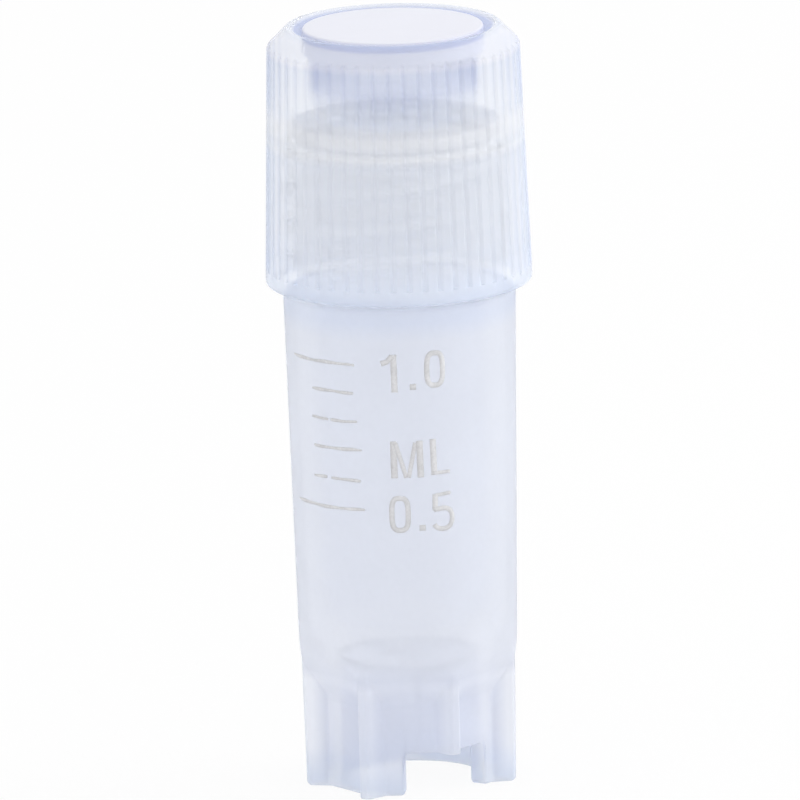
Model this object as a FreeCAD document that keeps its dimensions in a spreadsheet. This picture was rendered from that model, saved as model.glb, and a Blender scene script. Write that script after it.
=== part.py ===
# Self-standing screw-cap vial of about one millilitre.
#
# The tube stands on a hollow star-shaped foot. Its neck carries a ribbed screw cap, which presses
# a sealing washer on the tube's rim, and a plain disc closes the pocket in the cap's top.
# Everything turns about +Z, the base is at Z = 0 and the printed side faces -Y.
# Lengths are in millimetres and angles in degrees.

import FreeCAD, Part
import os
import Sketcher

doc = FreeCAD.newDocument("ScrewCapVial")

# ---------------------------------------------------------------- driving dimensions

tubeSizes = [
    ("rim_height", 35.5, "base to the tube's rim"),
    ("shoulder_height", 27.2, "base to the shoulder below the neck"),
    ("bore_dia", 9.0, "bore at the rim"),
    ("bore_floor_dia", 8.8, "bore where its round bottom begins"),
    ("floor_height", 6.8, "base to the lowest point of the bore"),
    ("neck_wall", 0.95, "wall of the neck at the rim"),
    ("shoulder_width", 0.84, "ledge between the neck and the body"),
    ("body_draft", 0.54, "how much the body's radius shrinks down to the base"),
    ("rim_round", 0.25, "rounding of the rim's two edges"),
    ("shoulder_round", 0.3, "rounding of the shoulder's edge"),
]

footSizes = [
    ("foot_lobes", 7, "places round the foot, one of them taken by the notch"),
    ("foot_turn", 24.9, "angle of the notch's lobe from the printed side"),
    ("flute_depth", 1.2, "depth of a flute at the base"),
    ("flute_flare", 1.15, "how much half a flute widens per millimetre outwards"),
    ("lobe_width", 0.55, "land left between two flutes"),
    ("flute_height", 5.0, "straight part of a flute"),
    ("flute_runout", 2.8, "sloping end above the straight part"),
    ("skirt_wall", 0.85, "thinnest wall of the foot, behind a flute"),
    ("floor_wall", 1.2, "wall under the bore's round bottom"),
    ("notch_height", 2.35, "height of the notch"),
    ("notch_angle", 63.4, "how much of the foot the notch takes"),
    ("notch_turn", 2.3, "angle from the middle of the lobe to that of the notch"),
    ("foot_round", 0.2, "rounding of the foot's lower edge"),
]

capSizes = [
    ("thread_height", 0.6, "room for the thread between neck and cap"),
    ("thread_clearance", 0.12, "air beyond the thread"),
    ("cap_gap", 0.3, "air between the cap's lower edge and the shoulder"),
    ("cap_wall", 0.66, "wall of the cap at its top edge"),
    ("flank_flare", 0.39, "how much the cap's radius grows down to its lower edge"),
    ("band_height", 0.8, "smooth band round the cap's lower edge"),
    ("band_round", 0.3, "rounding of the band's lower edge"),
    ("cap_chamfer", 1.05, "45 degree shoulder of the cap"),
    ("chamfer_round", 0.25, "rounding between the shoulder and the flank"),
    ("rim_width", 0.25, "flat ring round the top"),
    ("mouth_chamfer", 0.3, "lead-in of the cap's bore"),
    ("grip_turn", 4.1, "angle of the first groove from the printed side"),
    ("grip_count", 52, "grooves round the cap"),
    ("grip_depth", 0.16, "depth of a groove"),
    ("grip_width", 0.34, "width of a groove at the surface"),
    ("grip_floor", 0.1, "width of a groove at its floor"),
]

topSizes = [
    ("washer_thickness", 0.9, "thickness of the sealing washer"),
    ("washer_inset", 0.7, "how far the washer covers the bore's edge"),
    ("washer_clearance", 0.1, "air round the washer in its seat"),
    ("seat_clearance", 0.25, "air round the neck in the washer's seat"),
    ("seat_depth", 0.3, "how far the neck enters the seat"),
    ("web_thickness", 0.85, "web of the cap above the washer"),
    ("pocket_height", 2.95, "pocket between the web and the insert"),
    ("ledge_width", 0.4, "ledge that carries the insert"),
    ("insert_thickness", 1.35, "thickness of the insert"),
    ("insert_clearance", 0.05, "air round the insert"),
    ("insert_round", 0.12, "rounding of the insert's upper edge"),
    ("insert_drop", 0.05, "how far the insert lies below the top"),
    ("trench_depth", 0.45, "depth of the trench round the insert"),
    ("trench_slope", 0.6, "width of the trench's sloping side"),
]

sheet = doc.addObject("Spreadsheet::Sheet", "Sizes")
for row, (alias, value, meaning) in enumerate(tubeSizes + footSizes + capSizes + topSizes, start=1):
    sheet.set("A%d" % row, alias)
    sheet.set("B%d" % row, str(value))
    sheet.setAlias("B%d" % row, alias)
    sheet.set("C%d" % row, meaning)
doc.recompute()

# Radii and heights that follow from the driving dimensions, as expressions for the features below.
boreRadius = "Sizes.bore_dia / 2"
boreFloorRadius = "Sizes.bore_floor_dia / 2"
neckRadius = "(Sizes.bore_dia / 2 + Sizes.neck_wall)"
shoulderRadius = "(%s + Sizes.shoulder_width)" % neckRadius
baseRadius = "(%s - Sizes.body_draft)" % shoulderRadius
ballCentre = "(Sizes.floor_height + %s)" % boreFloorRadius

fluteFloor = "(%s - Sizes.flute_depth)" % baseRadius
cavityRadius = "(%s - Sizes.skirt_wall)" % fluteFloor
domeRadius = "(%s + Sizes.floor_wall)" % boreFloorRadius

capBoreRadius = "(%s + Sizes.thread_height + Sizes.thread_clearance)" % neckRadius
capShoulderRadius = "(%s + Sizes.cap_wall)" % capBoreRadius
flankRadius = "(%s + Sizes.flank_flare)" % capShoulderRadius
topRadius = "(%s - Sizes.cap_chamfer)" % capShoulderRadius
recessRadius = "(%s - Sizes.rim_width)" % topRadius
insertSeatRadius = "(%s - Sizes.trench_slope)" % recessRadius
insertRadius = "(%s - Sizes.insert_clearance)" % insertSeatRadius
pocketRadius = "(%s - Sizes.ledge_width)" % insertSeatRadius
seatRadius = "(%s + Sizes.seat_clearance)" % neckRadius
washerRadius = "(%s - Sizes.washer_clearance)" % seatRadius
washerHoleRadius = "(%s - Sizes.washer_inset)" % boreRadius

capFoot = "(Sizes.shoulder_height + Sizes.cap_gap)"
bandTop = "(%s + Sizes.band_height)" % capFoot
seatBottom = "(Sizes.rim_height - Sizes.seat_depth)"
webBottom = "(Sizes.rim_height + Sizes.washer_thickness)"
webTop = "(%s + Sizes.web_thickness)" % webBottom
ledgeHeight = "(%s + Sizes.pocket_height)" % webTop
insertTop = "(%s + Sizes.insert_thickness)" % ledgeHeight
capTop = "(%s + Sizes.insert_drop)" % insertTop
trenchFloor = "(%s - Sizes.trench_depth)" % capTop
capShoulder = "(%s - Sizes.cap_chamfer)" % capTop

overcut = 1.0  # how far a cutting outline runs past the surface that it opens
sameLength = 1e-6  # two lengths closer than this are the same edge's
leastCut = 1e-4  # a cut that takes away less than this volume has missed

# ---------------------------------------------------------------- sketch helpers


def originFeature(body, role):
    return [feature for feature in body.Origin.OriginFeatures if feature.Role == role][0]


def newSketch(body, name, planeRole):
    sketch = body.newObject("Sketcher::SketchObject", name)
    sketch.AttachmentSupport = [(originFeature(body, planeRole), "")]
    sketch.MapMode = "FlatFace"
    return sketch


def bindPoint(sketch, edge, end, name, coordinates):
    """Ties one end of an edge to its two expressions; a zero puts it on the axis."""
    rules = [("DistanceX", -2), ("DistanceY", -1)]
    for (kind, axis), expression in zip(rules, coordinates):
        if expression == 0:
            sketch.addConstraint(Sketcher.Constraint("PointOnObject", edge, end, axis))
            continue
        value = sketch.evalExpression(expression)
        index = sketch.addConstraint(Sketcher.Constraint(kind, -1, 1, edge, end, value))
        constraint = name + kind[-1]
        sketch.renameConstraint(index, constraint)
        sketch.setExpression("Constraints." + constraint, expression)


def numbers(sketch, corner):
    return FreeCAD.Vector(*[0 if c == 0 else sketch.evalExpression(c) for c in corner])


def closedOutline(sketch, corners, arcs=()):
    """Draws a closed outline whose corners are pairs of expressions.

    arcs maps the number of an edge to the height of its centre, which is on the vertical axis.
    """
    ends = []
    points = [numbers(sketch, corner) for corner in corners]
    for edge, start in enumerate(points):
        finish = points[(edge + 1) % len(points)]
        if edge not in arcs:
            sketch.addGeometry(Part.LineSegment(start, finish), False)
            ends.append((1, 2))
            continue
        centre = FreeCAD.Vector(0, sketch.evalExpression(arcs[edge]), 0)
        circle = Part.Circle(centre, FreeCAD.Vector(0, 0, 1), (start - centre).Length)
        first, last = circle.parameter(start), circle.parameter(finish)
        anticlockwise = (start - centre).cross(finish - centre).z > 0
        if anticlockwise:
            sketch.addGeometry(Part.ArcOfCircle(circle, first, last), False)
        else:
            sketch.addGeometry(Part.ArcOfCircle(circle, last, first), False)
        ends.append((1, 2) if anticlockwise else (2, 1))
        sketch.addConstraint(Sketcher.Constraint("PointOnObject", edge, 3, -2))
    for edge, corner in enumerate(corners):
        before = (edge - 1) % len(corners)
        joined = Sketcher.Constraint("Coincident", before, ends[before][1], edge, ends[edge][0])
        sketch.addConstraint(joined)
        bindPoint(sketch, edge, ends[edge][0], "corner%d" % edge, corner)


def turned(body, kind, name, sketch):
    """A revolution or groove of a sketch, right round its vertical axis."""
    feature = body.newObject(kind, name)
    feature.Profile = sketch
    feature.ReferenceAxis = (sketch, ["V_Axis"])
    feature.Angle = 360
    doc.recompute()
    return feature


def patternAround(body, name, feature, count):
    pattern = body.newObject("PartDesign::PolarPattern", name)
    pattern.Originals = [feature]
    pattern.Axis = (originFeature(body, "Z_Axis"), [""])
    pattern.Angle = 360
    pattern.setExpression("Occurrences", count)
    body.Tip = pattern
    doc.recompute()
    return pattern


def circlesAt(feature, height, radius=None):
    """Names of the circular edges of a feature at one height, and of one radius if it is given."""
    found = []
    for index, edge in enumerate(feature.Shape.Edges, start=1):
        if edge.Degenerated or not isinstance(edge.Curve, Part.Circle) or abs(edge.Curve.Axis.z) < 0.99:
            continue
        rightRadius = radius is None or abs(edge.Curve.Radius - radius) < sameLength
        if rightRadius and abs(edge.Curve.Center.z - height) < sameLength:
            found.append("Edge%d" % index)
    return found


def roundedEdges(body, name, base, edges, size, kind="PartDesign::Fillet"):
    feature = body.newObject(kind, name)
    feature.Base = (base, edges)
    feature.setExpression("Radius" if kind.endswith("Fillet") else "Size", size)
    doc.recompute()
    return feature


def turnedSketch(body, name, angle):
    """A sketch on the horizontal plane, turned about the axis by an expression in degrees."""
    sketch = newSketch(body, name, "XY_Plane")
    sketch.AttachmentOffset = FreeCAD.Placement(FreeCAD.Vector(), FreeCAD.Rotation(FreeCAD.Vector(0, 0, 1), 0))
    sketch.setExpression("AttachmentOffset.Rotation.Angle", "(%s) * 1deg" % angle)
    return sketch


def taperedSection(body, name, angle, height, near, far):
    """A level section of a cut that widens outwards, in the direction of an angle from +X.

    near and far are pairs of expressions: a distance from the axis, and half the width there.
    """
    section = turnedSketch(body, name, angle)
    section.setExpression("AttachmentOffset.Base.z", height)
    inner, outer = numbers(section, near), numbers(section, far)
    points = [outer, inner, FreeCAD.Vector(inner.x, -inner.y), FreeCAD.Vector(outer.x, -outer.y)]
    for start, finish in zip(points, points[1:] + points[:1]):
        section.addGeometry(Part.LineSegment(start, finish), False)
    for edge in range(4):
        section.addConstraint(Sketcher.Constraint("Coincident", edge, 2, (edge + 1) % 4, 1))
    section.addConstraint(Sketcher.Constraint("Symmetric", 0, 1, 2, 2, -1))
    section.addConstraint(Sketcher.Constraint("Symmetric", 0, 2, 2, 1, -1))
    bindPoint(section, 0, 1, "far", far)
    bindPoint(section, 0, 2, "near", near)
    return section


def newBody(label):
    body = doc.addObject("PartDesign::Body", label)
    body.Label = label
    return body


# ---------------------------------------------------------------- tube

tube = newBody("vial_tube")

outside = newSketch(tube, "tube_outside", "XZ_Plane")
closedOutline(outside, [
    (0, 0),
    (baseRadius, 0),
    (shoulderRadius, "Sizes.shoulder_height"),
    (neckRadius, "Sizes.shoulder_height"),
    (neckRadius, "Sizes.rim_height"),
    (0, "Sizes.rim_height"),
])
blank = turned(tube, "PartDesign::Revolution", "blank", outside)

# The bore tapers a little and ends in a half ball.
boreOutline = newSketch(tube, "bore_outline", "XZ_Plane")
closedOutline(boreOutline, [
    (0, "Sizes.floor_height"),
    (boreFloorRadius, ballCentre),
    (boreRadius, "Sizes.rim_height"),
    (boreRadius, "Sizes.rim_height + %s" % overcut),
    (0, "Sizes.rim_height + %s" % overcut),
], arcs={0: ballCentre})
bore = turned(tube, "PartDesign::Groove", "bore", boreOutline)

# The foot is hollow. Its ceiling runs parallel to the bore's round bottom.
cavityOutline = newSketch(tube, "cavity_outline", "YZ_Plane")
closedOutline(cavityOutline, [
    (0, 0),
    (cavityRadius, 0),
    (cavityRadius, "%s - sqrt(%s ^ 2 - %s ^ 2)" % (ballCentre, domeRadius, cavityRadius)),
    (0, "%s - %s" % (ballCentre, domeRadius)),
], arcs={2: ballCentre})
cavity = turned(tube, "PartDesign::Groove", "foot_cavity", cavityOutline)

rimHeight = sheet.get("rim_height")
shoulderHeight = sheet.get("shoulder_height")
rim = roundedEdges(tube, "rim_edges", cavity, circlesAt(cavity, rimHeight), "Sizes.rim_round")
shoulderEdge = circlesAt(rim, shoulderHeight, outside.evalExpression(shoulderRadius))
shoulder = roundedEdges(tube, "shoulder_edge", rim, shoulderEdge, "Sizes.shoulder_round")
footEdge = circlesAt(shoulder, 0, outside.evalExpression(baseRadius))
foot = roundedEdges(tube, "foot_edge", shoulder, footEdge, "Sizes.foot_round")

# A flute has a flat floor and flaring sides, and lies half a pitch from the notch's lobe. It is lofted
# straight up to flute_height, and from there its floor slopes outwards between the same sides until it
# leaves the tube's surface.
halfFlute = "(180 / Sizes.foot_lobes - Sizes.lobe_width / 2 / %s * 180 / pi)" % baseRadius
landHalfWidth = "(%s * sin(%s * 1deg))" % (baseRadius, halfFlute)
landDistance = "(%s * cos(%s * 1deg))" % (baseRadius, halfFlute)
runoutTop = "(Sizes.flute_height + Sizes.flute_runout)"
wallSlope = "(Sizes.body_draft / Sizes.shoulder_height)"
runoutReach = "(%s + %s * %s)" % (baseRadius, wallSlope, runoutTop)
toolReach = "(1.5 * %s)" % baseRadius


def fluteHalfWidth(distance):
    return "(%s + Sizes.flute_flare * (%s - %s))" % (landHalfWidth, distance, landDistance)


def fluteSection(name, height, floorDistance):
    near = (floorDistance, fluteHalfWidth(floorDistance))
    far = (toolReach, fluteHalfWidth(toolReach))
    return taperedSection(tube, name, "180 / Sizes.foot_lobes - 90", height, near, far)


flute = tube.newObject("PartDesign::SubtractiveLoft", "flute")
flute.Profile = fluteSection("flute_foot", "0", fluteFloor)
flute.Sections = [
    fluteSection("flute_straight_top", "Sizes.flute_height", fluteFloor),
    fluteSection("flute_runout_top", runoutTop, runoutReach),
]
flute.Ruled = True
doc.recompute()
flutes = patternAround(tube, "flutes", flute, "Sizes.foot_lobes")

# The notch takes the place of one lobe: a wedge from the axis outwards.
notchOutline = turnedSketch(tube, "notch_outline", "Sizes.notch_turn")
reach = 2 * sheet.get("bore_dia")
wedge = [FreeCAD.Vector(*corner) for corner in ((0, 0), (-reach, -reach), (reach, -reach))]
for start, finish in zip(wedge, wedge[1:] + wedge[:1]):
    notchOutline.addGeometry(Part.LineSegment(start, finish), False)
for first, second in ((0, 1), (1, 2), (2, 0)):
    notchOutline.addConstraint(Sketcher.Constraint("Coincident", first, 2, second, 1))
notchOutline.addConstraint(Sketcher.Constraint("Coincident", 0, 1, -1, 1))
notchOutline.addConstraint(Sketcher.Constraint("Symmetric", 1, 1, 1, 2, -2))
notchSize = {
    "opening": (Sketcher.Constraint("Angle", 0, 1, 2, 2, 1.0), "Sizes.notch_angle * 1deg"),
    "reach": (Sketcher.Constraint("Distance", 0, reach), "3 * %s" % baseRadius),
}
for name, (constraint, expression) in notchSize.items():
    notchOutline.renameConstraint(notchOutline.addConstraint(constraint), name)
    notchOutline.setExpression("Constraints." + name, expression)
notch = tube.newObject("PartDesign::Pocket", "notch")
notch.Profile = notchOutline
notch.Reversed = True
notch.setExpression("Length", "Sizes.notch_height")
tube.Tip = notch
doc.recompute()

tube.Placement.Rotation = FreeCAD.Rotation(FreeCAD.Vector(0, 0, 1), 0)
tube.setExpression("Placement.Rotation.Angle", "Sizes.foot_turn * 1deg")

# ---------------------------------------------------------------- cap

cap = newBody("screw_cap")

capOutline = newSketch(cap, "cap_outline", "XZ_Plane")
closedOutline(capOutline, [
    (0, capFoot),
    (flankRadius, capFoot),
    (capShoulderRadius, capShoulder),
    (topRadius, capTop),
    (0, capTop),
])
capBlank = turned(cap, "PartDesign::Revolution", "cap_blank", capOutline)

# Room for the neck and its thread, then a narrower seat that holds the washer against the web.
threadRoomOutline = newSketch(cap, "thread_room_outline", "XZ_Plane")
closedOutline(threadRoomOutline, [
    (0, "%s - %s" % (capFoot, overcut)),
    (capBoreRadius, "%s - %s" % (capFoot, overcut)),
    (capBoreRadius, seatBottom),
    (seatRadius, seatBottom),
    (seatRadius, webBottom),
    (0, webBottom),
])
threadRoom = turned(cap, "PartDesign::Groove", "thread_room", threadRoomOutline)

# A sloping trench inside the rim, the insert's seat, and the pocket under the insert.
pocketOutline = newSketch(cap, "pocket_outline", "XZ_Plane")
closedOutline(pocketOutline, [
    (0, webTop),
    (pocketRadius, webTop),
    (pocketRadius, ledgeHeight),
    (insertSeatRadius, ledgeHeight),
    (insertSeatRadius, trenchFloor),
    (recessRadius, capTop),
    (recessRadius, "%s + %s" % (capTop, overcut)),
    (0, "%s + %s" % (capTop, overcut)),
])
pocket = turned(cap, "PartDesign::Groove", "pocket", pocketOutline)

capFootHeight = capOutline.evalExpression(capFoot)
mouthEdge = circlesAt(pocket, capFootHeight, capOutline.evalExpression(capBoreRadius))
mouth = roundedEdges(cap, "mouth", pocket, mouthEdge, "Sizes.mouth_chamfer", "PartDesign::Chamfer")
bandEdge = circlesAt(mouth, capFootHeight, capOutline.evalExpression(flankRadius))
band = roundedEdges(cap, "band_edge", mouth, bandEdge, "Sizes.band_round")
shoulderLevel = capOutline.evalExpression(capShoulder)
chamferEdge = circlesAt(band, shoulderLevel, capOutline.evalExpression(capShoulderRadius))
softShoulder = roundedEdges(cap, "chamfer_edge", band, chamferEdge, "Sizes.chamfer_round")

# One groove is lofted from the band up past the shoulder, along the tapering flank: narrow at its
# floor and wider beyond the flank.
flankSlope = "(Sizes.flank_flare / (%s - %s))" % (capShoulder, capFoot)
widening = "((Sizes.grip_width - Sizes.grip_floor) / Sizes.grip_depth)"
farHalfWidth = "((Sizes.grip_width + %s * Sizes.grip_depth) / 2)" % widening


def grooveSection(name, height):
    surface = "(%s - %s * (%s - %s))" % (flankRadius, flankSlope, height, capFoot)
    near = ("%s - Sizes.grip_depth" % surface, "Sizes.grip_floor / 2")
    far = ("%s + Sizes.grip_depth" % surface, farHalfWidth)
    return taperedSection(cap, name, "0", height, near, far)


lowerSection = grooveSection("groove_low", bandTop)
upperSection = grooveSection("groove_high", capTop)
groove = cap.newObject("PartDesign::SubtractiveLoft", "grip_groove")
groove.Profile = lowerSection
groove.Sections = [upperSection]
groove.Ruled = True
doc.recompute()
grip = patternAround(cap, "grip", groove, "Sizes.grip_count")

cap.Placement.Rotation = FreeCAD.Rotation(FreeCAD.Vector(0, 0, 1), 0)
cap.setExpression("Placement.Rotation.Angle", "Sizes.grip_turn * 1deg")

# ---------------------------------------------------------------- washer and insert

washer = newBody("sealing_washer")
washerOutline = newSketch(washer, "washer_outline", "XZ_Plane")
closedOutline(washerOutline, [
    (washerHoleRadius, "Sizes.rim_height"),
    (washerRadius, "Sizes.rim_height"),
    (washerRadius, webBottom),
    (washerHoleRadius, webBottom),
])
ring = turned(washer, "PartDesign::Revolution", "ring", washerOutline)

insert = newBody("cap_insert")
insertOutline = newSketch(insert, "insert_outline", "XZ_Plane")
closedOutline(insertOutline, [
    (0, ledgeHeight),
    (insertRadius, ledgeHeight),
    (insertRadius, insertTop),
    (0, insertTop),
])
disc = turned(insert, "PartDesign::Revolution", "disc", insertOutline)
discEdge = circlesAt(disc, insertOutline.evalExpression(insertTop))
softDisc = roundedEdges(insert, "disc_edge", disc, discEdge, "Sizes.insert_round")

# ---------------------------------------------------------------- checks and files

doc.recompute()
for thing in doc.Objects:
    if "Invalid" in thing.State or "Error" in thing.State:
        raise RuntimeError("%s did not compute: %s" % (thing.Name, thing.State))

# Each cut has to take something away from the shape before it.
cuts = [(blank, bore), (bore, cavity), (foot, flute), (flute, flutes), (flutes, notch),
        (capBlank, threadRoom), (threadRoom, pocket), (softShoulder, groove), (groove, grip)]
for before, after in cuts:
    if after.Shape.Volume > before.Shape.Volume - leastCut:
        raise RuntimeError("%s cuts nothing" % after.Name)

subParts = [tube, cap, washer, insert]
for part in subParts:
    if part.Shape.isNull() or not part.Shape.isValid():
        raise RuntimeError("%s has no sound shape" % part.Label)

os.makedirs("parts", exist_ok=True)
for part in subParts:
    part.Shape.exportStep("parts/%s.step" % part.Label)
    print("%s: %d solid, %.2f mm3" % (part.Label, len(part.Shape.Solids), part.Shape.Volume))
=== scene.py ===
# Looks of a self-standing screw-cap vial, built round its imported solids.
# Dictionaries hold millimetres and degrees, unless a note says otherwise. A bearing is an angle about
# the vial's axis, counted from the printed side (-Y) towards +X.

import math

import bmesh
import bpy
import numpy as np
from mathutils import Matrix, Vector


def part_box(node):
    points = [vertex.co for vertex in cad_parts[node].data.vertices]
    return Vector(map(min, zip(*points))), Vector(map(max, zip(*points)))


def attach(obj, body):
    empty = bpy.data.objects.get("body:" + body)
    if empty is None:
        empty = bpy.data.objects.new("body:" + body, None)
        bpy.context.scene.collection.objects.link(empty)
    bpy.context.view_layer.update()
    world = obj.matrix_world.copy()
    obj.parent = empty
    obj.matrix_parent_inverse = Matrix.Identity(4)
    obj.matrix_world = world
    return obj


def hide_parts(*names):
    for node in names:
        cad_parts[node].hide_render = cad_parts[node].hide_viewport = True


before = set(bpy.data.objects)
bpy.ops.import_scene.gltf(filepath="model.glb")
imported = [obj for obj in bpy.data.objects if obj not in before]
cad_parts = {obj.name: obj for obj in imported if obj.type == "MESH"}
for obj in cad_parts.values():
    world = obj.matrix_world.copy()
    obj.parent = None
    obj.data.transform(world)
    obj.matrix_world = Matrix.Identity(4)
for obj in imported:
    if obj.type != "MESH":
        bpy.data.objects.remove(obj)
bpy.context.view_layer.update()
mm = 0.001
print("frame loaded:", ", ".join(sorted(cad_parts)))


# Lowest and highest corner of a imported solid, in millimetres.
def solidBox(node):
    low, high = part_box(node)
    return np.array(low) / mm, np.array(high) / mm


tubeHigh = solidBox("vial_tube")[1]
capLow, capHigh = solidBox("screw_cap")
washerLow, washerHigh = solidBox("sealing_washer")
insertLow, insertHigh = solidBox("cap_insert")
rimHeight = tubeHigh[2]
contactGap = 0.01  # air left between pieces that press on each other
nearly = 1e-6  # two lengths this close are the same
weldDistance = 1e-4  # points this close are merged


# Smooth step: 3t^2 - 2t^3 between 0 and 1, flat at both ends.
def smoothStep(t):
    t = np.clip(t, 0.0, 1.0)
    return t * t * (3.0 - 2.0 * t)


# The smaller of two values, rounded over a stretch `soft` wide where they cross.
def softMin(a, b, soft):
    share = np.clip(0.5 + 0.5 * (b - a) / soft, 0.0, 1.0)
    return b * (1.0 - share) + a * share - soft * share * (1.0 - share)


# The larger of two values, rounded in the same way.
def softMax(a, b, soft):
    return -softMin(-a, -b, soft)


# Arc that rounds the corner `here`: its centre is radius / sin(half angle) away on the bisector.
def filletArc(before, here, after, radius, count=6):
    toBefore = (before - here) / np.linalg.norm(before - here)
    toAfter = (after - here) / np.linalg.norm(after - here)
    half = math.acos(np.clip(toBefore @ toAfter, -1, 1)) / 2
    middle = (toBefore + toAfter) / np.linalg.norm(toBefore + toAfter)
    centre = here + middle * radius / math.sin(half)
    first = here + toBefore * radius / math.tan(half) - centre
    last = here + toAfter * radius / math.tan(half) - centre
    turn = math.atan2(first[0] * last[1] - first[1] * last[0], first @ last)
    angle = np.linspace(0, turn, count)[:, None]
    return centre + first * np.cos(angle) + np.array([-first[1], first[0]]) * np.sin(angle)


# Outline through corners (r, z, fillet, step): straight runs are cut into steps, fillets are arcs.
# A corner's step is that of the run which ends there.
def outline(corners, step=2.0):
    corners = [tuple(corner) + (0.0, step)[len(corner) - 2:] for corner in corners]
    places = [np.array(corner[:2], float) for corner in corners]
    points = [places[0][None]]
    for index in range(1, len(corners)):
        fillet, runStep = corners[index][2:]
        arc = places[index][None]
        if fillet > 0:
            arc = filletArc(places[index - 1], places[index], places[index + 1], fillet)
        start, run = points[-1][-1], arc[0] - points[-1][-1]
        pieces = max(1, math.ceil(np.linalg.norm(run) / runStep))
        points += [start + run * np.arange(1, pieces)[:, None] / pieces, arc]
    return np.vstack(points)


# Round the vial's axis: x = r sin(bearing), y = -r cos(bearing), z = height.
def roundAxis(radius, bearing, height):
    angle = np.radians(bearing)
    grid = np.broadcast_arrays(radius * np.sin(angle), -radius * np.cos(angle), height)
    return np.stack(grid, axis=-1)


# Quads of a grid of points, numbered row by row. Every row is a loop, and the rows can close too.
def gridQuads(rows, columns, closedRows=False):
    row = np.arange(rows if closedRows else rows - 1)[:, None]
    column = np.arange(columns)[None, :]
    nextRow, nextColumn = (row + 1) % rows, (column + 1) % columns
    corners = [(row, column), (row, nextColumn), (nextRow, nextColumn), (nextRow, column)]
    return np.stack([r * columns + c for r, c in corners], axis=-1).reshape(-1, 4)


# Points in millimetres and quads become an object. Doubles at poles are merged. Faces point outwards:
# the sum of a . (b x c) over a closed surface is six times the volume inside, negative where inside out.
def meshPiece(name, points, quads):
    a, b, c, d = (points[quads[:, k]] for k in range(4))
    enclosed = np.sum(a * np.cross(b, c)) + np.sum(a * np.cross(c, d))
    if enclosed < 0:
        quads = quads[:, ::-1]
    mesh = bpy.data.meshes.new(name)
    mesh.vertices.add(len(points))
    mesh.vertices.foreach_set("co", (points * mm).astype(np.float32).ravel())
    mesh.loops.add(quads.size)
    mesh.loops.foreach_set("vertex_index", np.ascontiguousarray(quads, dtype=np.int32).ravel())
    mesh.polygons.add(len(quads))
    mesh.polygons.foreach_set("loop_start", np.arange(0, quads.size, 4, dtype=np.int32))
    mesh.update(calc_edges=True)
    welded = bmesh.new()
    welded.from_mesh(mesh)
    bmesh.ops.remove_doubles(welded, verts=welded.verts, dist=weldDistance * mm)
    welded.to_mesh(mesh)
    welded.free()
    mesh.shade_smooth()
    piece = bpy.data.objects.new(name, mesh)
    bpy.context.scene.collection.objects.link(piece)
    return piece


# A grid of points, each row a loop, becomes a piece.
def gridPiece(name, points):
    return meshPiece(name, points.reshape(-1, 3), gridQuads(*points.shape[:2]))


# Ridges along a two-start helix. The neck carries one set, the cap the other, half a pitch away.
thread = {
    "lead": 4.0,  # rise in one turn
    "starts": 2,
    "base": 0.92,  # width of a ridge at its foot
    "crest": 0.34,  # width of its flat crest
    "height": 0.55,
    "phase": 0.2,  # height of a neck ridge above the rim at bearing 0, less whole pitches
    "fade": 1.1,  # stretch over which a ridge rises at either end
}


# Height of a ridge: 1 within half the crest's width of the helix, 0 beyond half the base's width.
def threadRidge(bearing, height, low, high, shift):
    pitch = thread["lead"] / thread["starts"]
    along = height - rimHeight - thread["phase"] - shift - thread["lead"] * bearing / 360
    away = np.abs((along / pitch + 0.5) % 1.0 - 0.5) * pitch
    flank = (thread["base"] - thread["crest"]) / 2
    ends = smoothStep((height - low) / thread["fade"]) * smoothStep((high - height) / thread["fade"])
    return thread["height"] * ends * smoothStep((thread["base"] / 2 - away) / flank)


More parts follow.
